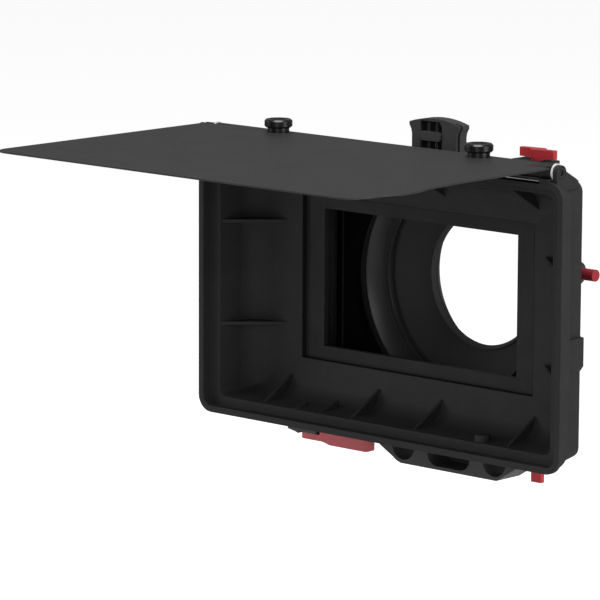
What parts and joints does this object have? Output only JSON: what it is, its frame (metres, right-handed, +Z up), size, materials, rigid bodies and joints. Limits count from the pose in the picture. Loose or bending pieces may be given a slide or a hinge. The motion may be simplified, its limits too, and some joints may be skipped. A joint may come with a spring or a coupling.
{
  "type": "camera matte box",
  "caption": "Clip-on camera matte box: ribbed black hood, mask, lift-out filter tray, folding top flag, rod bracket and red anodised locks.",
  "frame": {"origin": "on the optical axis, at the rear mouth of the lens clamp ring", "axes": "+X to the right when looking into the hood, +Y from the hood towards the lens and camera, +Z up"},
  "size_m": [0.2418, 0.2408, 0.1795],
  "materials": {
    "hood_plastic": "black moulded plastic with a fine grain",
    "stage_plastic": "black moulded plastic, satin",
    "black_metal": "black anodised metal, satin",
    "flag_plastic": "dark grey matt sheet",
    "red_anodised": "red anodised metal, satin",
    "bright_steel": "bare steel",
    "black_screws": "black oxide screws",
    "white_plastic": "white low-friction plastic",
    "brass_pad": "plain brass"
  },
  "bodies": {
    "box": {"hood": "hood_plastic", "mask_insert": "hood_plastic", "stage_front_plate": "stage_plastic", "tray_guide_left": "stage_plastic", "tray_guide_right": "stage_plastic", "stage_floor": "stage_plastic", "stage_rear_plate": "stage_plastic", "adapter_ring": "black_metal", "lens_cone": "black_metal", "lens_clamp_ring": "black_metal", "rod_bracket": "black_metal", "hinge_wire": "bright_steel", "pivot_screw": "black_screws", "hinge_washers": "white_plastic", "lock_housing": "hood_plastic", "pin_bush": "stage_plastic", "pin_spring": "bright_steel", "stage_screws": "black_screws", "bracket_screws": "black_screws", "adapter_screws": "bright_steel", "cone_screws": "black_screws", "clamp_ring_screws": "black_screws", "lever_screw": "black_screws", "clamp_shoe": "brass_pad"},
    "flag": {"top_flag": "flag_plastic", "hinge_bar": "black_metal"},
    "left_flag_knob": {"flag_knob_left": "black_metal"},
    "right_flag_knob": {"flag_knob_right": "black_metal"},
    "tension_knob": {"tension_knob": "black_metal"},
    "tray": {"tray_frame": "stage_plastic", "handle_front": "stage_plastic", "handle_back": "stage_plastic", "handle_screws": "black_screws", "latch_spring": "bright_steel"},
    "latch": {"tray_latch": "stage_plastic"},
    "lock": {"lock_wing": "red_anodised"},
    "pin": {"pull_pin": "red_anodised"},
    "lever": {"release_lever": "red_anodised"},
    "rod_clamp": {"rod_clamp_screw": "red_anodised"},
    "lens_clamp": {"lens_clamp_screw": "black_metal"}
  },
  "joints": [
    {"name": "flag_tilt", "type": "hinge", "parent": "box", "child": "flag", "pos_m": [0, -0.0895, 0.0731], "axis": [1, 0, 0], "range_deg": [-90, 45]},
    {"name": "left_flag_knob_turn", "type": "hinge", "parent": "flag", "child": "left_flag_knob", "pos_m": [-0.0649, -0.093, 0.08], "axis": [0, 0, 1], "continuous": true},
    {"name": "right_flag_knob_turn", "type": "hinge", "parent": "flag", "child": "right_flag_knob", "pos_m": [0.0649, -0.093, 0.08], "axis": [0, 0, 1], "continuous": true},
    {"name": "tension_knob_turn", "type": "hinge", "parent": "box", "child": "tension_knob", "pos_m": [-0.1128, -0.0895, 0.0731], "axis": [1, 0, 0], "continuous": true},
    {"name": "tray_lift", "type": "slide", "parent": "box", "child": "tray", "axis": [0, 0, 1], "range_m": [0, 0.1]},
    {"name": "tray_latch_press", "type": "slide", "parent": "tray", "child": "latch", "axis": [0, 0, -1], "range_m": [0, 0.003], "stiffness_N_per_m": 400, "springref_m": -0.0015, "deforming": ["latch_spring"]},
    {"name": "lock_turn", "type": "hinge", "parent": "box", "child": "lock", "pos_m": [0.0841, -0.0719, 0.075], "axis": [0, 0, 1], "range_deg": [0, 90]},
    {"name": "pin_pull", "type": "slide", "parent": "box", "child": "pin", "axis": [1, 0, 0], "range_m": [0, 0.0045], "stiffness_N_per_m": 900, "springref_m": -0.002, "deforming": ["pin_spring"]},
    {"name": "lever_swing", "type": "hinge", "parent": "box", "child": "lever", "pos_m": [-0.0984, -0.0332, -0.088], "axis": [0, 0, -1], "range_deg": [0, 70]},
    {"name": "rod_clamp_turn", "type": "hinge", "parent": "box", "child": "rod_clamp", "pos_m": [0.051, -0.0325, -0.08], "axis": [1, 0, 0], "range_deg": [-90, 90]},
    {"name": "lens_clamp_turn", "type": "hinge", "parent": "box", "child": "lens_clamp", "pos_m": [0.0066, -0.00375, 0.0505], "axis": [1, 0, 0], "continuous": true}
  ]
}
